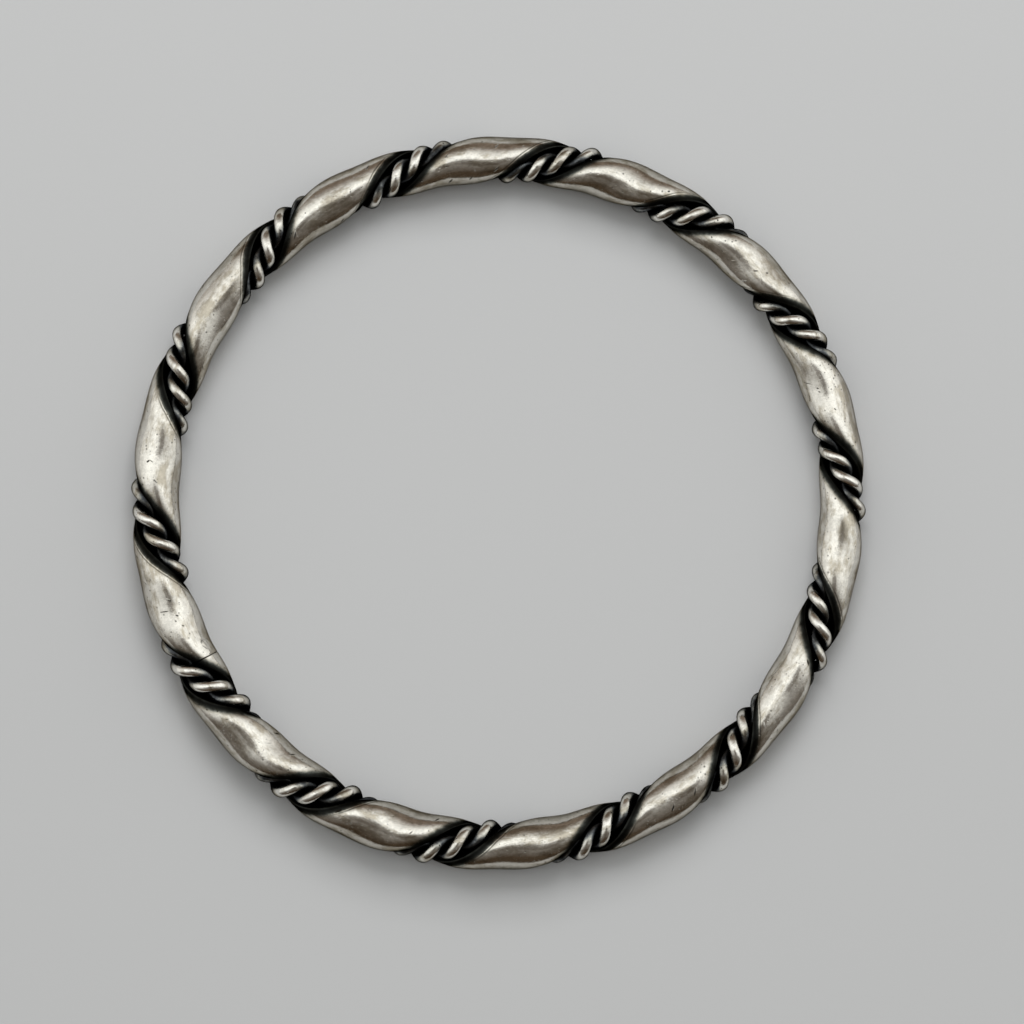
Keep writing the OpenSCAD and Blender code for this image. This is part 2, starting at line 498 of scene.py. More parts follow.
strand = skin("half_round_strand_dressed", strand_rows + lift, True)
along_mm = np.repeat((np.radians(ring_angles) * RING_RADIUS_MM)[:, None], len(section), axis=1)
steps = np.linalg.norm(np.roll(section, -1, axis=0) - section, axis=1)
around_mm = np.repeat(np.concatenate([[0], np.cumsum(steps)[:-1]])[None], len(ring_angles), 0)
unroll(strand, along_mm, around_mm, True)
keep(strand, "polish_and_painted_light", strand_polish_and_painted_shade)
burr_mm = np.where((section[:, 1] > 0) & ~in_groove, edge_gap, NO_BURR_MM)
keep(strand, "burr_mm", np.repeat(burr_mm[None], len(ring_angles), 0))
keep(strand, "seam", np.repeat(seam_dip[:, None], len(section), 1))
print(strand.name, len(strand.data.polygons) * 2, "triangles")

# %% Polish of the wires
# Painted highlight: the wires are made brighter at the left and right of the ring than at its top and
# bottom
LEFT_RIGHT_PAINTED_HIGHLIGHT_MM = 0.12
PAINTED_DIMMING_MM = 0.04
TOP_BOTTOM_PAINTED_DIM_SHARE = 0.94
# Painted shade: polish left where a wire stands upright. Polish lost on its crest where it dips
# towards the bar
WIRE_UPRIGHT_SHARE_IN_PAINTED_SHADE = 0.4
DIP_LOSS = 0.42
# Each pair is where a share starts to grow and where it is whole: from the side towards the other
# wire to the side away from it, from upright to facing up for the painted shade, on the crest, and out
# of the dip in mm
FACING_OUT = (-1.0, 0.60)
WIRE_FACING_IN_PAINTED_SHADE = (0.1, 0.68)
ON_CREST = (0.5, 0.95)
OUT_OF_DIP_MM = (1.95, 2.35)


def wire_polish_and_painted_light(facts):
    """Bright far out from the bar's axis and away from the other wire, with a painted highlight at the
    left and right of the ring and painted shade where a wire stands upright.
    """
    left_right_weight = (sind(wire_angles) ** 2)[:, None]
    # Painted highlight: the polish reaches further at the left and right of the ring, and is dimmed at
    # its top and bottom
    reach = facts["from_axis"] + LEFT_RIGHT_PAINTED_HIGHLIGHT_MM * left_right_weight - PAINTED_DIMMING_MM
    polish_and_painted_light = np.interp(reach, axis_mm, axis_polish)
    polish_and_painted_light = polish_and_painted_light * (TOP_BOTTOM_PAINTED_DIM_SHARE + (1 - TOP_BOTTOM_PAINTED_DIM_SHARE) * left_right_weight)
    polish_and_painted_light = polish_and_painted_light * rise(facts["crest"], *FACING_OUT)
    # Painted shade: a wire is darker where it stands upright
    unshaded_facing_up = rise(facts["level"], *WIRE_FACING_IN_PAINTED_SHADE)
    polish_and_painted_light = polish_and_painted_light * (WIRE_UPRIGHT_SHARE_IN_PAINTED_SHADE + (1 - WIRE_UPRIGHT_SHARE_IN_PAINTED_SHADE) * unshaded_facing_up)
    low_down = 1 - rise(facts["from_axis"], *OUT_OF_DIP_MM)
    return polish_and_painted_light * (1 - DIP_LOSS * rise(facts["crest"], *ON_CREST) * low_down)


print("first wire's mean polish", round(float(wire_polish_and_painted_light(rows_a[3]).mean()), 2))

# %% The wires as meshes
wires = []
for wire_name, (rows, along, around, facts) in (("rope_wire_a_dressed", rows_a),
                                                ("rope_wire_b_dressed", rows_b)):
    wire = skin(wire_name, rows + lift, False)
    unroll(wire, along, around, False)
    keep(wire, "polish_and_painted_light", wire_polish_and_painted_light(facts))
    wires.append(wire)
    print(wire.name, len(wire.data.polygons) * 2, "triangles")

# %% [markdown]
# ## Dressed strands for plain solids
#
# Each dressed strand takes the place of one solid of the CAD model. A closed bangle has no
# moving part, so all three ride on the root body.

# %% Each strand stands for its CAD node
for piece, node, slot_name in (
    (strand, "half_round_strand", "oxidised_silver_strand"),
    (wires[0], "rope_wire_a", "oxidised_silver_wire"),
    (wires[1], "rope_wire_b", "oxidised_silver_wire"),
):
    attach(piece, "root")
    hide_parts(node)
    print(piece.name, "replaces", node)

# %% [markdown]
# ## Two helpers for materials
#
# Blender's shader sockets take linear colours, while a colour picked by eye is an sRGB hex
# value, so one function turns one into the other. Another adds a node, sets its sockets and
# links it in one line, which keeps the long node trees below short enough to read.

# %% Colours and nodes
def linear(hex_colour):
    """An sRGB hex value as the linear colour that a shader socket takes."""
    parts = [int(hex_colour[i:i + 2], 16) / 255 for i in (1, 3, 5)]
    return [p / 12.92 if p <= 0.04045 else ((p + 0.055) / 1.055) ** 2.4 for p in parts] + [1.0]


def add(tree, kind, links=None, sockets=None, **settings):
    """Adds a node: its own settings, values for its sockets, and links into its sockets."""
    node = tree.nodes.new(kind)
    for name, value in settings.items():
        setattr(node, name, value)
    for name, value in (sockets or {}).items():
        node.inputs[name].default_value = value
    for name, source in (links or {}).items():
        tree.links.new(source, node.inputs[name])
    return node


def new_material(name):
    material = bpy.data.materials.new(name)
    material.use_nodes = True
    material.node_tree.nodes.clear()
    return material


print("colour helper: #808080 is", round(linear("#808080")[0], 3), "linear")

# %% [markdown]
# ## Oxidised sterling silver
#
# Sterling silver, dipped in liver of sulphur and buffed to satin. Bright silver is a slightly
# warm near-white metal. Silver sulphide is black, with a blue-grey gleam where the cloth has
# just touched it, and the zone between is a warm grey. The stages below run through those
# colours, and the polish of a point picks one. The wires keep more of the blue-grey.

# %% Stages from black to bright
STRAND_STAGES = (
    # polish, colour
    (0.00, "#050505"),
    (0.25, "#323330"),
    (0.40, "#585954"),
    (0.52, "#787770"),
    (0.70, "#A6A298"),
    (0.86, "#CDC8BD"),
    (1.00, "#EFEBE2"),
)
WIRE_STAGES = (
    # polish, colour
    (0.00, "#101011"),
    (0.25, "#353739"),
    (0.40, "#55585B"),
    (0.52, "#7B7D7C"),
    (0.70, "#B5B3AB"),
    (0.86, "#E4E1D8"),
    (1.00, "#FAF7F0"),
)
print(len(STRAND_STAGES), "stages from black sulphide to bright silver")

# %% Directions of rubbing
def ring_way(tree, position, uv):
    """Millimetres along the ring, away from its middle, and up: rubbing runs along the first."""
    parts = add(tree, "ShaderNodeSeparateXYZ", {0: position})
    flat = add(tree, "ShaderNodeCombineXYZ", {0: parts.outputs["X"], 1: parts.outputs["Y"]})
    radius = add(tree, "ShaderNodeVectorMath", {0: flat.outputs[0]}, operation="LENGTH")
    unrolled = add(tree, "ShaderNodeSeparateXYZ", {0: uv})
    radius_mm = add(tree, "ShaderNodeMath", {0: radius.outputs["Value"]}, {1: 1 / MM},
                    operation="MULTIPLY")
    up_mm = add(tree, "ShaderNodeMath", {0: parts.outputs["Z"]}, {1: 1 / MM}, operation="MULTIPLY")
    return add(tree, "ShaderNodeCombineXYZ", {0: unrolled.outputs["X"], 1: radius_mm.outputs[0],
                                              2: up_mm.outputs[0]}).outputs[0]


print("directions of rubbing ready")

# %% Uneven edge of the polish
PATCH_MM = 0.8
UNEVENNESS = 1.9


def uneven_polish_and_painted_light(tree, position):
    """The stored polish with its painted shade and highlight, made patchy by noise where black turns
    to bright.
    """
    polish_and_painted_light = add(tree, "ShaderNodeAttribute", attribute_name="polish_and_painted_light")
    patches = add(tree, "ShaderNodeTexNoise", {"Vector": position},
                  {"Scale": 1 / (PATCH_MM * MM), "Detail": 5.0, "Roughness": 0.7})
    centred = add(tree, "ShaderNodeMath", {0: patches.outputs[0]}, {1: 0.5}, operation="SUBTRACT")
    # The noise counts most halfway between black and bright, and not at all at either end
    slack = add(tree, "ShaderNodeMath", {0: polish_and_painted_light.outputs["Fac"]}, {1: 0.5}, operation="PINGPONG")
    shift = add(tree, "ShaderNodeMath", {0: centred.outputs[0], 1: slack.outputs[0]},
                operation="MULTIPLY")
    return add(tree, "ShaderNodeMath", {0: shift.outputs[0], 2: polish_and_painted_light.outputs["Fac"]},
               {1: UNEVENNESS}, operation="MULTIPLY_ADD").outputs[0]


print("uneven polish ready")

# %% Colour of the silver
CLOUD_LENGTH_MM = 3.0
CLOUD_WIDTH_MM = 1.3
WARM_TARNISH = "#CDC8BF"
# The clouds' noise runs from clean metal to full tarnish between these
TARNISH_RANGE = (0.47, 0.60)


def silver_colour(tree, polish_and_painted_light, rubbing, stages):
    """The stage that the polish picks, under clouds of warm tarnish drawn out by rubbing."""
    ramp = add(tree, "ShaderNodeValToRGB", {"Fac": polish_and_painted_light})
    stops = ramp.color_ramp.elements
    stops[0].position, stops[0].color = stages[0][0], linear(stages[0][1])
    stops[1].position, stops[1].color = stages[-1][0], linear(stages[-1][1])
    for place, colour in stages[1:-1]:
        stops.new(place).color = linear(colour)
    stretched = add(tree, "ShaderNodeMapping", {"Vector": rubbing})
    stretched.inputs["Scale"].default_value = (1 / CLOUD_LENGTH_MM, 1 / CLOUD_WIDTH_MM,
                                               1 / CLOUD_WIDTH_MM)
    clouds = add(tree, "ShaderNodeTexNoise", {"Vector": stretched.outputs[0]},
                 {"Scale": 1.0, "Detail": 6.0, "Roughness": 0.66})
    amount = add(tree, "ShaderNodeMapRange", {"Value": clouds.outputs[0]},
                 {"From Min": TARNISH_RANGE[0], "From Max": TARNISH_RANGE[1]})
    tarnished = add(tree, "ShaderNodeMix", data_type="RGBA", blend_type="MULTIPLY")
    tree.links.new(amount.outputs[0], tarnished.inputs[0])
    tree.links.new(ramp.outputs[0], tarnished.inputs[6])
    tarnished.inputs[7].default_value = linear(WARM_TARNISH)
    return tarnished.outputs[2]


print("silver colour ready")

# %% [markdown]
# ## Pits, streaks and satin
#
# Up close, buffed silver is far from even. Corrosion left pits where dirt lay, and the cloth left
# streaks along the ring. The real streaks are finer than a pixel, so they are drawn as coarse as
# they need to be to show. An image could hold all of it, but noise in millimetres keeps its size
# on every strand. Metallic is 1 and the IOR stays at its default. The colour then sets how much
# a surface mirrors, and the roughness how sharply: satin on the domes, dull in the patina.

# %% Pits
# Half the width of a pit's soft rim, as a fraction of a cell
PIT_RIM = 0.04


def pits(tree, cells, share, smallest, largest):
    """1 in a round pit in the middle of some cells, 0 elsewhere. Sizes are fractions of a cell."""
    chance = add(tree, "ShaderNodeSeparateColor", {0: cells.outputs["Color"]})
    size = add(tree, "ShaderNodeMapRange", {"Value": chance.outputs[1]},
               {"To Min": smallest, "To Max": largest})
    depth = add(tree, "ShaderNodeMath", {0: size.outputs[0], 1: cells.outputs["Distance"]},
                operation="SUBTRACT")
    shape = add(tree, "ShaderNodeMapRange", {"Value": depth.outputs[0]},
                {"From Min": -PIT_RIM, "From Max": PIT_RIM})
    some = add(tree, "ShaderNodeMath", {0: chance.outputs[0]}, {1: share}, operation="LESS_THAN")
    return add(tree, "ShaderNodeMath", {0: shape.outputs[0], 1: some.outputs[0]},
               operation="MULTIPLY").outputs[0]


def clustered(tree, holes, position, patch_mm):
    """The same pits, kept only inside patches, since corrosion starts where dirt lies."""
    patches = add(tree, "ShaderNodeTexNoise", {"Vector": position},
                  {"Scale": 1 / (patch_mm * MM), "Detail": 2.0})
    inside = add(tree, "ShaderNodeMapRange", {"Value": patches.outputs[0]},
                 {"From Min": 0.42, "From Max": 0.56})
    return add(tree, "ShaderNodeMath", {0: holes, 1: inside.outputs[0]},
               operation="MULTIPLY").outputs[0]


print("pits ready")

# %% Grain of the burnished metal
STREAK_LENGTHS = 5


def grain(tree, rubbing, streak_mm):
    """Soft streaks that the polishing cloth left along the ring, each five times as long as wide."""
    stretched = add(tree, "ShaderNodeMapping", {"Vector": rubbing})
    stretched.inputs["Scale"].default_value = (1 / (STREAK_LENGTHS * streak_mm), 1 / streak_mm,
                                               1 / streak_mm)
    streaks = add(tree, "ShaderNodeTexNoise", {"Vector": stretched.outputs[0]},
                  {"Scale": 1.0, "Detail": 4.0, "Roughness": 0.65})
    return streaks.outputs[0]


print("grain ready")

# %% Mottling, and dirt in the pits
MOTTLE_MM = 0.5
DIRT = "#28251F"
STREAKS_IN_MOTTLE = 0.4


def mottled(tree, colour, streaks, holes, position):
    """The colour, darker and brighter in fine spots, and dark in the pits."""
    mottle = add(tree, "ShaderNodeTexNoise", {"Vector": position},
                 {"Scale": 1 / (MOTTLE_MM * MM), "Detail": 5.0, "Roughness": 0.75})
    mixed = add(tree, "ShaderNodeMath", {0: streaks, 2: mottle.outputs[0]},
                {1: STREAKS_IN_MOTTLE}, operation="MULTIPLY_ADD")
    worn = add(tree, "ShaderNodeMapRange", {"Value": mixed.outputs[0]},
               {"From Min": 0.48, "From Max": 0.92, "To Min": 0.76, "To Max": 1.10})
    shaded = add(tree, "ShaderNodeVectorMath", {0: colour, "Scale": worn.outputs[0]},
                 operation="SCALE")
    dirty = add(tree, "ShaderNodeMix", data_type="RGBA")
    tree.links.new(holes, dirty.inputs[0])
    tree.links.new(shaded.outputs[0], dirty.inputs[6])
    dirty.inputs[7].default_value = linear(DIRT)
    return dirty.outputs[2]


print("mottling ready")

# %% Roughness
ROUGHEST = 0.33
GLOSS_GAIN = 0.21


def satin(tree, polish_and_painted_light, streaks):
    """Dull where the patina is left, and satin where the metal is polished."""
    buffed = add(tree, "ShaderNodeMapRange", {"Value": polish_and_painted_light},
                 {"From Min": 0.1, "From Max": 0.9, "To Min": ROUGHEST,
                  "To Max": ROUGHEST - GLOSS_GAIN})
    brushed = add(tree, "ShaderNodeMapRange", {"Value": streaks},
                  {"From Min": 0.3, "From Max": 0.7, "To Min": -0.01, "To Max": 0.06})
    return add(tree, "ShaderNodeMath", {0: buffed.outputs[0], 1: brushed.outputs[0]}).outputs[0]


print("roughness ready")

# %% Fine relief
TOOTH_MM = 0.7
# Height of the streaks and depth of the pits, as shares of the height of the tooth
STREAK_SHARE = 0.35
PIT_DEPTH = 1.6


def relief(tree, streaks, holes, position, relief_mm):
    """Streaks and tooth relief_mm high, with the pits sunk into them."""
    tooth = add(tree, "ShaderNodeTexNoise", {"Vector": position},
                {"Scale": 1 / (TOOTH_MM * MM), "Detail": 5.0, "Roughness": 0.6})
    raised = add(tree, "ShaderNodeMath", {0: streaks, 2: tooth.outputs[0]}, {1: STREAK_SHARE},
                 operation="MULTIPLY_ADD")
    sunk = add(tree, "ShaderNodeMath", {0: holes, 2: raised.outputs[0]}, {1: -PIT_DEPTH},
               operation="MULTIPLY_ADD")
    return add(tree, "ShaderNodeBump", {"Height": sunk.outputs[0]},
               {"Strength": 1.0, "Distance": relief_mm * MM}).outputs[0]


print("relief ready")

# %% From polish to a finished metal
# What the metal mirrors at a grazing angle, held down by the thin sulphide film
EDGE_TINT = "#8E8A85"


def finish_silver(tree, polish_and_painted_light, colour, streaks, holes, position, relief_mm):
    """The metal shader, with its colour, roughness and relief."""
    metal = add(tree, "ShaderNodeBsdfPrincipled",
                {"Base Color": mottled(tree, colour, streaks, holes, position),
                 "Roughness": satin(tree, polish_and_painted_light, streaks),
                 "Normal": relief(tree, streaks, holes, position, relief_mm)},
                {"Metallic": 1.0, "Specular Tint": linear(EDGE_TINT)})
    add(tree, "ShaderNodeOutputMaterial", {"Surface": metal.outputs[0]})


print("silver finish ready")

# %% [markdown]
# ## Marks of wear
#
# Years of wear left a few marks that can be told apart: nicks across the dome, single deep pits,
# and tool marks beside the solder seam. There are few enough to chart one by one, so each is one
# row: where it lies along the strand and round its section, its length and width, and its lean.
# A Mapping node set to Texture turns such a row into a stretched unit circle round the mark.

# %% Charted marks
MARKS = (
    # along mm, around mm, length, width, lean in degrees, 0 for deep to 1 for worn away
    (169.54, 5.85, 0.64, 0.12, 63, 0.0),
    (169.58, 6.22, 0.30, 0.11, 140, 0.0),
    (154.33, 6.96, 0.85, 0.12, 100, 0.0),
    (153.54, 7.33, 0.26, 0.20, 30, 0.0),
    (153.06, 6.57, 0.22, 0.16, 30, 0.4),
    (152.34, 6.42, 0.24, 0.18, 30, 0.4),
    (150.05, 5.37, 1.40, 0.24, 59, 0.70),
    (149.29, 4.74, 1.15, 0.26, 16, 0.70),
    (149.75, 5.75, 1.70, 0.20, 38, 0.78),
    (262.97, 7.54, 0.85, 0.11, 138, 0.0),
    (263.83, 7.40, 0.24, 0.18, 34, 0.0),
    (264.24, 7.74, 0.22, 0.16, 32, 0.3),
    (251.05, 8.54, 0.26, 0.18, 43, 0.0),
    (266.40, 8.71, 0.22, 0.16, 21, 0.0),
    (238.28, 10.86, 0.30, 0.18, 48, 0.0),
)


def charted_marks(tree, uv):
    """1 inside the charted marks, 0 outside, with a soft rim."""
    total = None
    for along, around, length, width, lean, worn in MARKS:
        spot = add(tree, "ShaderNodeMapping", {"Vector": uv}, vector_type="TEXTURE")
        # The ball of the gradient lies off the surface by as much as the mark is worn away
        spot.inputs["Location"].default_value = (along, around, worn)
        spot.inputs["Rotation"].default_value = (0.0, 0.0, math.radians(lean))
        spot.inputs["Scale"].default_value = (length / 2, width / 2, 1.0)
        ball = add(tree, "ShaderNodeTexGradient", {"Vector": spot.outputs[0]},
                   gradient_type="SPHERICAL")
        if total is None:
            total = ball.outputs["Fac"]
        else:
            total = add(tree, "ShaderNodeMath", {0: total, 1: ball.outputs["Fac"]},
                        operation="MAXIMUM").outputs[0]
    return add(tree, "ShaderNodeMapRange", {"Value": total},
               {"From Min": 0.0, "From Max": 0.45}).outputs[0]


print(len(MARKS), "charted marks")

# %% [markdown]
# ## Painted light and shade on the burnisher's edge, and the seam
#
# Along one side of the valley the burnisher pushed up a thin ridge. Its glint and the shade of
# the groove beside it are painted into the polish, as a bright line with a dark line beside it.
# They come and go along the strand. The solder seam is a hairline across the strand, darker
# round it where the flux and the heat left a stain.

# %% Painted highlight of the burr, with its painted shade
COMES_AND_GOES_MM = 7.0
WANDERS_EVERY_MM = 2.2
WANDERS_BY_MM = 0.3
BURR_HIGHLIGHT_AND_SHADE_LINES = (
    # mm from the edge, half width in mm: first the painted highlight, then the painted shade
    (1.15, 0.07),
    (1.33, 0.08),
)


def painted_burr_light_and_shade(tree, position):
    """The painted highlight on the burr and the painted shade beside it, each from 0 to 1."""
    gap = add(tree, "ShaderNodeAttribute", attribute_name="burr_mm").outputs["Fac"]
    comes = add(tree, "ShaderNodeTexNoise", {"Vector": position},
                {"Scale": 1 / (COMES_AND_GOES_MM * MM), "Detail": 1.0})
    strength = add(tree, "ShaderNodeMapRange", {"Value": comes.outputs[0]},
                   {"From Min": 0.45, "From Max": 0.56})
    wander = add(tree, "ShaderNodeTexNoise", {"Vector": position},
                 {"Scale": 1 / (WANDERS_EVERY_MM * MM), "Detail": 1.0})
    line = add(tree, "ShaderNodeMath", {0: wander.outputs[0], 2: gap}, {1: WANDERS_BY_MM},
               operation="MULTIPLY_ADD")
    lines = []
    for middle, half_width in BURR_HIGHLIGHT_AND_SHADE_LINES:
        off = add(tree, "ShaderNodeMath", {0: line.outputs[0]}, {1: middle}, operation="SUBTRACT")
        away = add(tree, "ShaderNodeMath", {0: off.outputs[0]}, operation="ABSOLUTE")
        shape = add(tree, "ShaderNodeMapRange", {"Value": away.outputs[0]},
                    {"From Min": 0.0, "From Max": half_width, "To Min": 1.0, "To Max": 0.0})
        lines.append(add(tree, "ShaderNodeMath", {0: shape.outputs[0], 1: strength.outputs[0]},
                         operation="MULTIPLY").outputs[0])
    return lines


print("burnisher's edge ready")

# %% [markdown]
# ## The silver of the strand and of the wires
#
# All three strands are the same silver, but they need two materials. The thick strand has the
# burr's painted highlight and shade, the seam and the charted marks. The wires have stages of
# their own, and shorter streaks and a stronger relief suit their small round faces.

# %% Polish of the strand with the burr's painted highlight and shade, and its seam
# What each of them adds to the polish: the painted highlight, the painted shade and the seam's stain
BURR_HIGHLIGHT_GAIN = 0.42
BURR_SHADE_LOSS = -0.36
SEAM_STAIN = -0.75

strand_silver = new_material("burnished_oxidised_silver_strand")
tree = strand_silver.node_tree
place = add(tree, "ShaderNodeTexCoord").outputs["Object"]
mm_map = add(tree, "ShaderNodeUVMap", uv_map="strand_mm").outputs[0]
rubbing = ring_way(tree, place, mm_map)
painted_burr_highlight, painted_burr_shade = painted_burr_light_and_shade(tree, place)
polish_and_painted_light = uneven_polish_and_painted_light(tree, place)
# The burr's painted highlight raises the polish, and its painted shade lowers it
with_burr_highlight = add(tree, "ShaderNodeMath", {0: painted_burr_highlight, 2: polish_and_painted_light}, {1: BURR_HIGHLIGHT_GAIN},
          operation="MULTIPLY_ADD")
with_burr_shade = add(tree, "ShaderNodeMath", {0: painted_burr_shade, 2: with_burr_highlight.outputs[0]}, {1: BURR_SHADE_LOSS},
          operation="MULTIPLY_ADD")
seam = add(tree, "ShaderNodeAttribute", attribute_name="seam").outputs["Fac"]
stained = add(tree, "ShaderNodeMath", {0: seam, 2: with_burr_shade.outputs[0]}, {1: SEAM_STAIN},
              operation="MULTIPLY_ADD")
print("polish, lines and seam joined")

# %% Pits and marks of the strand
SMALL_CELL_MM = 0.36
SMALL_PATCH_MM = 2.4
# The large pits are drawn out along the strand: their cells are 2.5 mm long and 1.2 mm wide
LARGE_CELLS_PER_MM = (0.4, 0.85, 1.0)
LARGE_PATCH_MM = 3.7
SMALL_PITS_DEPTH = 0.7

small_cells = add(tree, "ShaderNodeTexVoronoi", {"Vector": place}, {"Scale": 1 / (SMALL_CELL_MM * MM)})
small_pits = clustered(tree, pits(tree, small_cells, share=0.5, smallest=0.08, largest=0.26),
                       place, SMALL_PATCH_MM)
drawn_out = add(tree, "ShaderNodeMapping", {"Vector": mm_map})
drawn_out.inputs["Scale"].default_value = LARGE_CELLS_PER_MM
large_cells = add(tree, "ShaderNodeTexVoronoi", {"Vector": drawn_out.outputs[0]}, {"Scale": 1.0},
                  voronoi_dimensions="2D")
large_pits = clustered(tree, pits(tree, large_cells, share=0.2, smallest=0.04, largest=0.10),
                       place, LARGE_PATCH_MM)
both = add(tree, "ShaderNodeMath", {0: small_pits, 2: large_pits}, {1: SMALL_PITS_DEPTH},
           operation="MULTIPLY_ADD", use_clamp=True)
holes = add(tree, "ShaderNodeMath", {0: both.outputs[0], 1: charted_marks(tree, mm_map)},
            operation="MAXIMUM", use_clamp=True)
print("pits and marks joined")

# %% Burnished silver of the half-round strand
STRAND_STREAK_MM = 0.3
STRAND_RELIEF_MM = 0.018

finish_silver(tree, stained.outputs[0],
              silver_colour(tree, stained.outputs[0], rubbing, STRAND_STAGES),
              grain(tree, rubbing, STRAND_STREAK_MM), holes.outputs[0], place, STRAND_RELIEF_MM)
strand.data.materials.append(strand_silver)
print(strand_silver.name, len(tree.nodes), "nodes")

# %% Burnished silver of the wires
WIRE_STREAK_MM = 0.25
WIRE_RELIEF_MM = 0.032

wire_silver = new_material("burnished_oxidised_silver_wire")
tree = wire_silver.node_tree
place = add(tree, "ShaderNodeTexCoord").outputs["Object"]
mm_map = add(tree, "ShaderNodeUVMap", uv_map="strand_mm").outputs[0]
rubbing = ring_way(tree, place, mm_map)
polish_and_painted_light = uneven_polish_and_painted_light(tree, place)
small_cells = add(tree, "ShaderNodeTexVoronoi", {"Vector": place}, {"Scale": 1 / (SMALL_CELL_MM * MM)})
holes = clustered(tree, pits(tree, small_cells, share=0.4, smallest=0.08, largest=0.24),
                  place, SMALL_PATCH_MM)
finish_silver(tree, polish_and_painted_light, silver_colour(tree, polish_and_painted_light, rubbing, WIRE_STAGES),
              grain(tree, rubbing, WIRE_STREAK_MM), holes, place, WIRE_RELIEF_MM)
for wire in wires:
    wire.data.materials.append(wire_silver)
print(wire_silver.name, len(tree.nodes), "nodes")

# %% [markdown]
# ## Floor and light
#
# The bangle lies on a matt pale board. Polished metal shows what is round it more than it
# shows itself, so the light is drawn where the photograph's reflections put it: one long soft
# light overhead that runs from left to right a little beyond the bangle, and dim warm walls on
# the near and far sides. It is painted on the world, over the direction halfway between straight
# up and the light, because that is the way in which a surface has to face to mirror it upwards.
# The board's colour is painted darker towards the near and far sides, a painted fall-off of light, for
# the sake of the rims that mirror it.

# %% Floor
FLOOR_M = 1.2
BOARD_TOOTH_MM = 0.8
BOARD_RELIEF_MM = 0.02
# Painted fall-off of light: the board's colour darkens between these distances from the middle,
# towards the near and far sides
LIT_TO_MM = 48
DIM_FROM_MM = 150
LIT_BOARD = "#B9BABB"
DIM_BOARD = "#8E8C89"

half = FLOOR_M / 2
floor_mesh = bpy.data.meshes.new("floor")
floor_mesh.from_pydata([(-half, -half, 0), (half, -half, 0), (half, half, 0), (-half, half, 0)],
                       [], [(0, 1, 2, 3)])
floor = bpy.data.objects.new("floor", floor_mesh)
scene.collection.objects.link(floor)
board_paint = new_material("matt_pale_board")
tree = board_paint.node_tree
place = add(tree, "ShaderNodeTexCoord").outputs["Object"]
tooth = add(tree, "ShaderNodeTexNoise", {"Vector": place},
            {"Scale": 1 / (BOARD_TOOTH_MM * MM), "Detail": 3.0})
tooth_bump = add(tree, "ShaderNodeBump", {"Height": tooth.outputs[0]},
                 {"Strength": 0.2, "Distance": BOARD_RELIEF_MM * MM})
board_place = add(tree, "ShaderNodeSeparateXYZ", {0: place})
from_middle = add(tree, "ShaderNodeMath", {0: board_place.outputs["Y"]}, operation="ABSOLUTE")
painted_falloff_amount = add(tree, "ShaderNodeMapRange", {"Value": from_middle.outputs[0]},
                {"From Min": LIT_TO_MM * MM, "From Max": DIM_FROM_MM * MM},
                interpolation_type="SMOOTHSTEP")
# Painted shade: the board's colour mixes from lit to dim away from the middle
board_painted_falloff = add(tree, "ShaderNodeMix", data_type="RGBA")
tree.links.new(painted_falloff_amount.outputs[0], board_painted_falloff.inputs[0])
board_painted_falloff.inputs[6].default_value = linear(LIT_BOARD)
board_painted_falloff.inputs[7].default_value = linear(DIM_BOARD)
board = add(tree, "ShaderNodeBsdfPrincipled",
            {"Base Color": board_painted_falloff.outputs[2], "Normal": tooth_bump.outputs[0]},
            {"Roughness": 0.75})
add(tree, "ShaderNodeOutputMaterial", {"Surface": board.outputs[0]})
floor_mesh.materials.append(board_paint)
print("floor", FLOOR_M, "m wide")

# %% Direction halfway to the light
world = bpy.data.worlds.new("soft_studio")
scene.world = world
world.use_nodes = True
tree = world.node_tree
tree.nodes.clear()
way = add(tree, "ShaderNodeTexCoord").outputs["Generated"]
above = add(tree, "ShaderNodeVectorMath", {0: way}, {1: (0.0, 0.0, 1.0)}, operation="ADD")
halfway = add(tree, "ShaderNodeVectorMath", {0: above.outputs[0]}, operation="NORMALIZE")
parts = add(tree, "ShaderNodeSeparateXYZ", {0: halfway.outputs[0]})
print("halfway direction ready")

# %% Near edge of the overhead light
# The near edge is a shallow V with its point a little to the right of the middle
LIGHT_MIDDLE = 0.03
NEAR_SLOPE = 0.31
# Most of the light ends in the first band, and a weak spill of it in the second
NEAR_BAND = (-0.20, 0.12)
SPILL_BAND = (-0.5, -0.05)
SPILL_SHARE = 0.17

to_one_side = add(tree, "ShaderNodeMath", {0: parts.outputs["X"]}, {1: LIGHT_MIDDLE},
                  operation="SUBTRACT")
across_light = add(tree, "ShaderNodeMath", {0: to_one_side.outputs[0]}, operation="ABSOLUTE")
near_line = add(tree, "ShaderNodeMath", {0: across_light.outputs[0], 2: parts.outputs["Y"]},
                {1: NEAR_SLOPE}, operation="MULTIPLY_ADD")
near_edge = add(tree, "ShaderNodeMapRange", {"Value": near_line.outputs[0]},
                {"From Min": NEAR_BAND[0], "From Max": NEAR_BAND[1], "To Max": 1 - SPILL_SHARE},
                interpolation_type="SMOOTHSTEP")
spill = add(tree, "ShaderNodeMapRange", {"Value": near_line.outputs[0]},
            {"From Min": SPILL_BAND[0], "From Max": SPILL_BAND[1], "To Max": SPILL_SHARE})
near_side = add(tree, "ShaderNodeMath", {0: near_edge.outputs[0], 1: spill.outputs[0]})
print("near edge drawn")

# %% Far edge and ends of the overhead light
# The far edge bows away at both ends, and leans a little
FAR_BOW = -0.35
FAR_LEAN = -0.08
FAR_BAND = (0.08, 0.56)
ENDS_BAND = (0.20, 0.85)
LEFT_AT_ENDS = 0.50

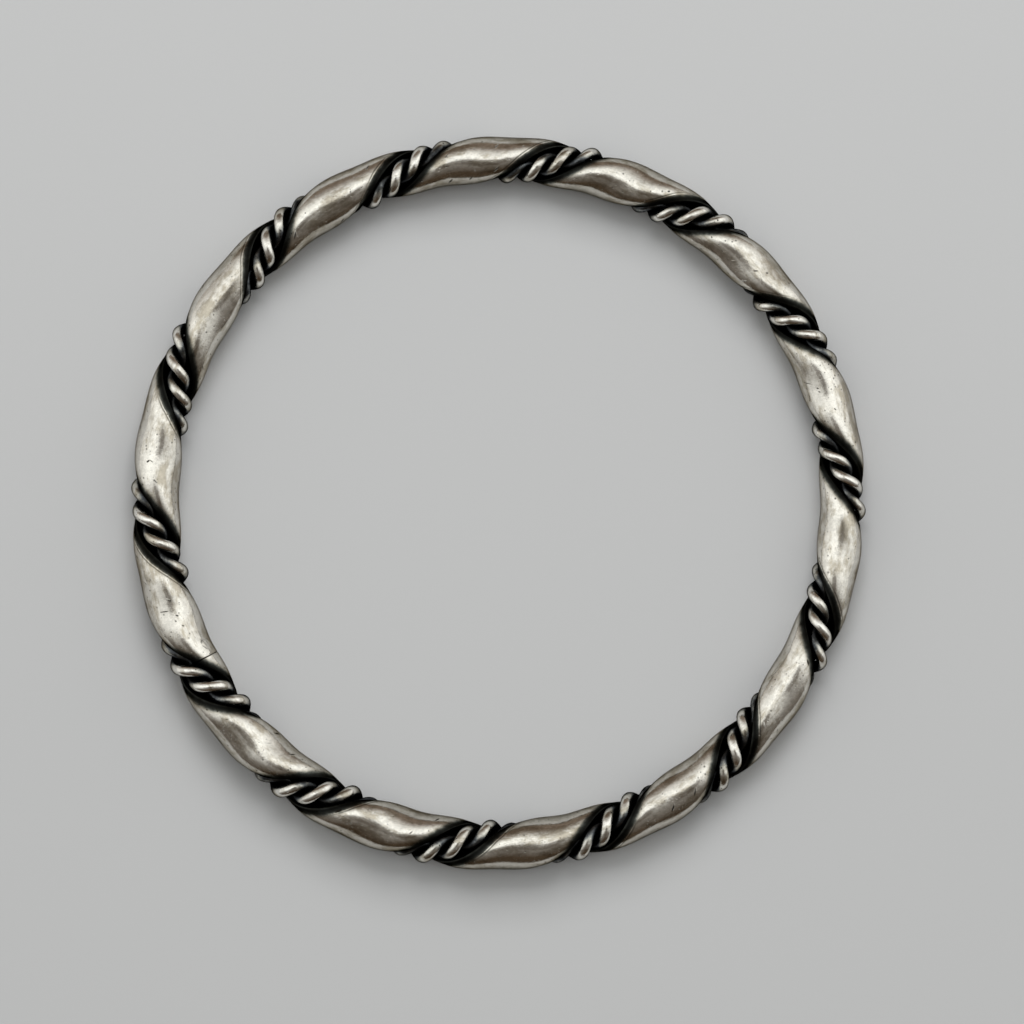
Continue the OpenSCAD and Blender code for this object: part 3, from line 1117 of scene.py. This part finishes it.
bow = add(tree, "ShaderNodeMath", {0: parts.outputs["X"], 1: parts.outputs["X"]},
          operation="MULTIPLY")
far_line = add(tree, "ShaderNodeMath", {0: bow.outputs[0], 2: parts.outputs["Y"]}, {1: FAR_BOW},
               operation="MULTIPLY_ADD")
far_lean = add(tree, "ShaderNodeMath", {0: parts.outputs["X"], 2: far_line.outputs[0]},
               {1: FAR_LEAN}, operation="MULTIPLY_ADD")
far_edge = add(tree, "ShaderNodeMapRange", {"Value": far_lean.outputs[0]},
               {"From Min": FAR_BAND[0], "From Max": FAR_BAND[1], "To Min": 1.0, "To Max": 0.0},
               interpolation_type="SMOOTHSTEP")
ends = add(tree, "ShaderNodeMapRange", {"Value": across_light.outputs[0]},
           {"From Min": ENDS_BAND[0], "From Max": ENDS_BAND[1], "To Min": 1.0,
            "To Max": LEFT_AT_ENDS}, interpolation_type="SMOOTHSTEP")
strip = add(tree, "ShaderNodeMath", {0: near_side.outputs[0], 1: far_edge.outputs[0]},
            operation="MULTIPLY")
light = add(tree, "ShaderNodeMath", {0: strip.outputs[0], 1: ends.outputs[0]}, operation="MULTIPLY")
print("overhead light drawn")

# %% [markdown]
# ## The camera in the reflections
#
# A camera that looks straight down hides part of the light, so a dark patch shows on the domes
# where they face up. In the photograph it makes short grey streaks on the left and right of the
# ring. Its arm dims the light a little on both sides of it. Both are drawn as soft ovals round
# one direction, which is easier to fit to the photograph than a modelled camera would be.

# %% Dark camera and its arm
CAMERA_AT = (-0.012, -0.10, 0.0)
DARK_OVALS = (
    # 1 / radius across and lengthways, soft rim from and to in radii, light left inside
    ((6.3, 7.4, 0.0), 0.60, 1.02, 0.34),
    ((2.3, 7.0, 0.0), 0.35, 1.15, 0.74),
)

from_camera = add(tree, "ShaderNodeVectorMath", {0: halfway.outputs[0]}, {1: CAMERA_AT},
                  operation="SUBTRACT")
for per_radius, rim_from, rim_to, left_inside in DARK_OVALS:
    in_radii = add(tree, "ShaderNodeVectorMath", {0: from_camera.outputs[0]}, {1: per_radius},
                   operation="MULTIPLY")
    far_out = add(tree, "ShaderNodeVectorMath", {0: in_radii.outputs[0]}, operation="LENGTH")
    past_oval = add(tree, "ShaderNodeMapRange", {"Value": far_out.outputs["Value"]},
                    {"From Min": rim_from, "From Max": rim_to, "To Min": left_inside,
                     "To Max": 1.0}, interpolation_type="SMOOTHSTEP")
    light = add(tree, "ShaderNodeMath", {0: light.outputs[0], 1: past_oval.outputs[0]},
                operation="MULTIPLY")
print(len(DARK_OVALS), "dark ovals drawn")

# %% Walls, and what the light adds to them
# Brightness of each part as linear light, where 1 is white
NEAR_WALL = (0.060, 0.042, 0.027, 1.0)
FAR_WALL = (0.176, 0.139, 0.110, 1.0)
OVERHEAD_LIGHT = (1.235, 1.255, 1.235, 1.0)
BACKGROUND = "#ADACA8"

walls = add(tree, "ShaderNodeMapRange", {"Value": parts.outputs["Y"]},
            {"From Min": -0.1, "From Max": 0.3}, interpolation_type="SMOOTHSTEP")
wall_tone = add(tree, "ShaderNodeMix", data_type="RGBA")
tree.links.new(walls.outputs[0], wall_tone.inputs[0])
wall_tone.inputs[6].default_value = NEAR_WALL
wall_tone.inputs[7].default_value = FAR_WALL
glow = add(tree, "ShaderNodeMix", data_type="RGBA")
tree.links.new(light.outputs[0], glow.inputs[0])
tree.links.new(wall_tone.outputs[2], glow.inputs[6])
glow.inputs[7].default_value = OVERHEAD_LIGHT
print("walls and light joined")

# %% The world
# What a surface mirrors is the room. What the camera sees past the board is a plain pale grey
room = add(tree, "ShaderNodeBackground", {"Color": glow.outputs[2]}, {"Strength": 1.0})
pale = add(tree, "ShaderNodeBackground", sockets={"Color": linear(BACKGROUND), "Strength": 1.0})
seen = add(tree, "ShaderNodeLightPath")
either = add(tree, "ShaderNodeMixShader",
             {0: seen.outputs["Is Camera Ray"], 1: room.outputs[0], 2: pale.outputs[0]})
add(tree, "ShaderNodeOutputWorld", {"Surface": either.outputs[0]})
scene.view_settings.view_transform = "Standard"
print("world nodes:", len(tree.nodes))

# %% [markdown]
# ## Lamp
#
# A lamp on the far side lights the board only, and gives the bangle a soft shadow on the near
# side. The metal there mirrors the shaded board, which is why its near rims are the darker ones.

# %% Lamp over the far side
LAMP_M = 0.35
LAMP_W = 2.6
LAMP_AT = (0.03, 0.42, 0.46)

lamp_data = bpy.data.lights.new("far_lamp", "AREA")
lamp_data.size = LAMP_M
lamp_data.energy = LAMP_W
lamp = bpy.data.objects.new("far_lamp", lamp_data)
lamp.location = LAMP_AT
lamp.rotation_euler = (-lamp.location).to_track_quat("-Z", "Y").to_euler()
lamp.visible_glossy = False
scene.collection.objects.link(lamp)
print("lamp", round(lamp.location.length, 2), "m away")
